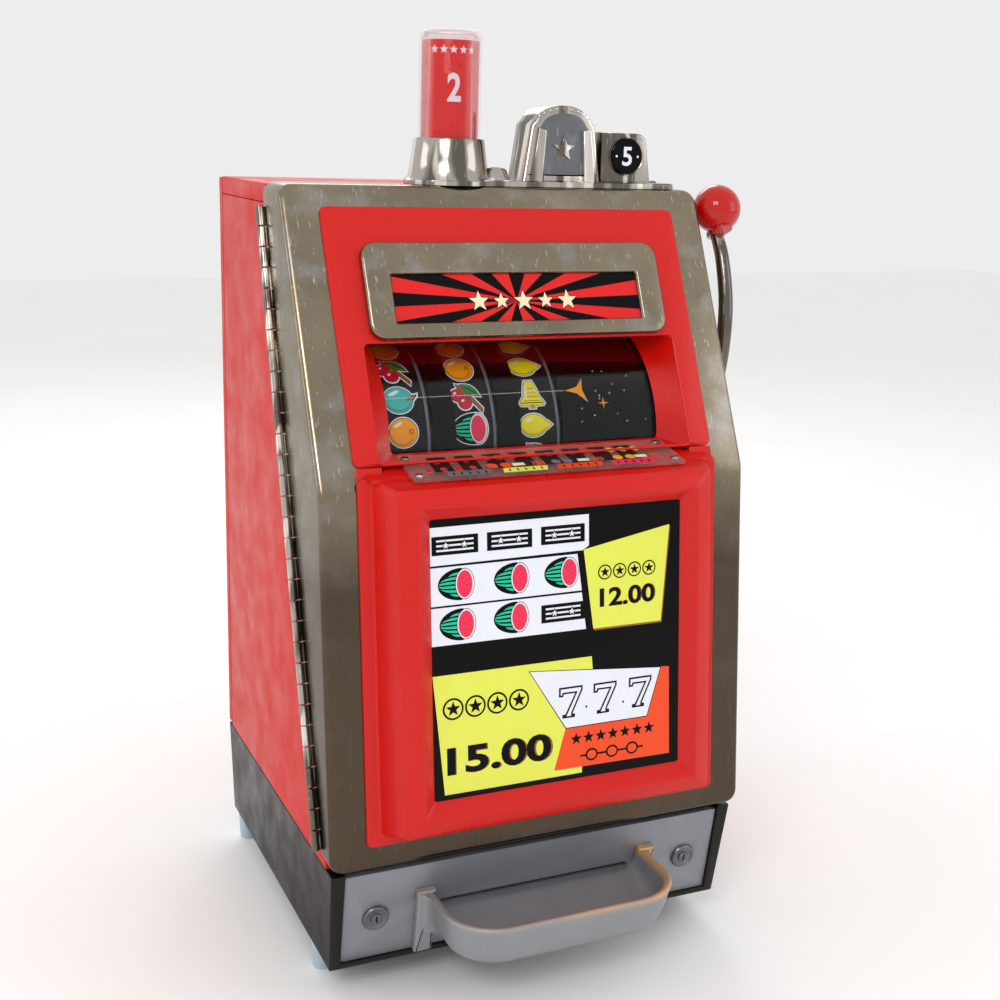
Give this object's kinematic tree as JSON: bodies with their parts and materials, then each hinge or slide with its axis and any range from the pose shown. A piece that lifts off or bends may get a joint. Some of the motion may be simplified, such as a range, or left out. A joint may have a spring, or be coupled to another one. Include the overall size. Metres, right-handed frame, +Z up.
{
  "type": "slot machine",
  "caption": "Counter-top fruit machine with a leaning hinged front door, bowed reel window, side pull handle, coin tray on a plinth and an indicator tube on top.",
  "frame": {"origin": "centre of the footprint, at the undersides of the feet", "axes": "+Z up, +X towards the handle side, -Y towards the player"},
  "size_m": [0.4584, 0.4354, 0.823],
  "materials": {
    "red_panel_paint": "satin red enamel on plywood panels",
    "red_gloss_paint": "glossy warm red moulding",
    "chrome": "bright plating with fine scratches",
    "plated_casting": "cast aluminium with bright plating, fine scratches",
    "black_plinth": "satin black painted wood",
    "cast_aluminium": "satin blue-grey cast aluminium, worn on the tray lip",
    "mech_steel": "zinc plated",
    "brass": "satin",
    "reel_aluminium": "satin",
    "reel_strip": "printed strip, dark ground with fruit pictures",
    "clear_glass": "clear, printed from behind",
    "award_glass": "clear glass, printed from behind on black",
    "clear_acrylic": "smoky clear acrylic with printing",
    "tube_acrylic": "clear acrylic",
    "tube_red": "translucent red sleeve",
    "lamp_glass": "clear bulb",
    "knob_red": "polished red ball",
    "foot_plastic": "pale blue-grey",
    "badge_black": "black with white numeral",
    "rail_wood": "plain varnished wood"
  },
  "bodies": {
    "cabinet": {"side_left": "red_panel_paint", "side_right": "red_panel_paint", "cabinet_top": "red_panel_paint", "cabinet_floor": "black_plinth", "plinth": "black_plinth", "foot_front_left": "foot_plastic", "foot_front_right": "foot_plastic", "foot_back_left": "foot_plastic", "foot_back_right": "foot_plastic", "front_plate": "cast_aluminium", "coin_tray": "cast_aluminium", "cash_box": "mech_steel", "payout_chute": "mech_steel", "mech_base": "mech_steel", "mech_rail_left": "rail_wood", "mech_rail_right": "rail_wood", "mech_frame_left": "mech_steel", "mech_frame_right": "mech_steel", "reel_shaft": "mech_steel", "lever_rod": "mech_steel", "coin_tube": "brass", "handle_bush": "chrome", "handle_spring": "mech_steel", "hinge_leaf_cabinet": "chrome", "hinge_pin": "mech_steel"},
    "door": {"door_frame": "plated_casting", "upper_bezel": "red_gloss_paint", "lower_bezel": "red_gloss_paint", "name_frame": "plated_casting", "name_glass": "clear_glass", "reel_glass": "clear_glass", "award_card": "clear_acrylic", "award_glass": "award_glass", "door_latch": "mech_steel", "hinge_leaf_door": "chrome", "top_casting": "plated_casting", "badge_disc": "badge_black", "indicator_lens": "tube_acrylic", "indicator_sleeve": "tube_red", "indicator_lamp": "lamp_glass", "coin_chute": "mech_steel"},
    "handle": {"handle_shaft": "mech_steel", "handle_arm": "chrome", "handle_knob": "knob_red"},
    "kicker": {"kicker_bail": "mech_steel"},
    "payout": {"payout_slide": "brass"},
    "rear": {"rear_door": "red_panel_paint"},
    "rear_cam": {"rear_lock": "chrome"},
    "lock_left": {"lock_left": "chrome"},
    "lock_right": {"lock_right": "chrome"},
    "reel_1": {"reel_wheel_1": "reel_aluminium", "reel_strip_1": "reel_strip"},
    "reel_2": {"reel_wheel_2": "reel_aluminium", "reel_strip_2": "reel_strip"},
    "reel_3": {"reel_wheel_3": "reel_aluminium", "reel_strip_3": "reel_strip"},
    "stop_1": {"stop_lever_1": "brass"},
    "stop_2": {"stop_lever_2": "brass"},
    "stop_3": {"stop_lever_3": "brass"}
  },
  "joints": [
    {"name": "door_hinge", "type": "hinge", "parent": "cabinet", "child": "door", "pos_m": [-0.2257, -0.0395, 0.40348], "axis": [0, -0.2924, -0.9563], "range_deg": [0, 105]},
    {"name": "handle_pull", "type": "hinge", "parent": "cabinet", "child": "handle", "pos_m": [-0.0218, 0.03725, 0.414], "axis": [1, 0, 0], "range_deg": [0, 70], "stiffness_Nm_per_rad": 2, "springref_deg": -57.3},
    {"name": "kicker_swing", "type": "hinge", "parent": "cabinet", "child": "kicker", "pos_m": [-0.0218, 0.14725, 0.375], "axis": [1, 0, 0], "range_deg": [-18, 0]},
    {"name": "reel_1_spin", "type": "hinge", "parent": "cabinet", "child": "reel_1", "pos_m": [-0.0218, 0.01725, 0.469], "axis": [1, 0, 0], "continuous": true},
    {"name": "reel_2_spin", "type": "hinge", "parent": "cabinet", "child": "reel_2", "pos_m": [-0.0218, 0.01725, 0.469], "axis": [1, 0, 0], "continuous": true},
    {"name": "reel_3_spin", "type": "hinge", "parent": "cabinet", "child": "reel_3", "pos_m": [-0.0218, 0.01725, 0.469], "axis": [1, 0, 0], "continuous": true},
    {"name": "stop_1_swing", "type": "hinge", "parent": "cabinet", "child": "stop_1", "pos_m": [-0.0218, 0.09025, 0.378], "axis": [-1, 0, 0], "range_deg": [0, 12], "stiffness_Nm_per_rad": 0.05, "springref_deg": -22.92},
    {"name": "stop_2_swing", "type": "hinge", "parent": "cabinet", "child": "stop_2", "pos_m": [-0.0218, 0.09025, 0.378], "axis": [-1, 0, 0], "range_deg": [0, 12], "stiffness_Nm_per_rad": 0.05, "springref_deg": -22.92},
    {"name": "stop_3_swing", "type": "hinge", "parent": "cabinet", "child": "stop_3", "pos_m": [-0.0218, 0.09025, 0.378], "axis": [-1, 0, 0], "range_deg": [0, 12], "stiffness_Nm_per_rad": 0.05, "springref_deg": -22.92},
    {"name": "payout_slide", "type": "slide", "parent": "cabinet", "child": "payout", "axis": [0, -1, 0], "range_m": [0, 0.024], "stiffness_N_per_m": 150, "springref_m": -0.01},
    {"name": "rear_door_hinge", "type": "hinge", "parent": "cabinet", "child": "rear", "pos_m": [-0.2208, 0.21725, 0.41], "axis": [0, 0, 1], "range_deg": [0, 110]},
    {"name": "rear_lock_turn", "type": "hinge", "parent": "rear", "child": "rear_cam", "pos_m": [0.1452, 0.21125, 0.41], "axis": [0, 1, 0], "range_deg": [0, 90]},
    {"name": "lock_left_turn", "type": "hinge", "parent": "cabinet", "child": "lock_left", "pos_m": [-0.1758, -0.12851, 0.07745], "axis": [0, -0.9885, -0.1513], "range_deg": [0, 90]},
    {"name": "lock_right_turn", "type": "hinge", "parent": "cabinet", "child": "lock_right", "pos_m": [0.1322, -0.12851, 0.07745], "axis": [0, 0.9885, 0.1513], "range_deg": [0, 90]}
  ],
  "couplings": [
    {"joint": "kicker_swing", "follows": "handle_pull", "ratio": -0.25}
  ]
}
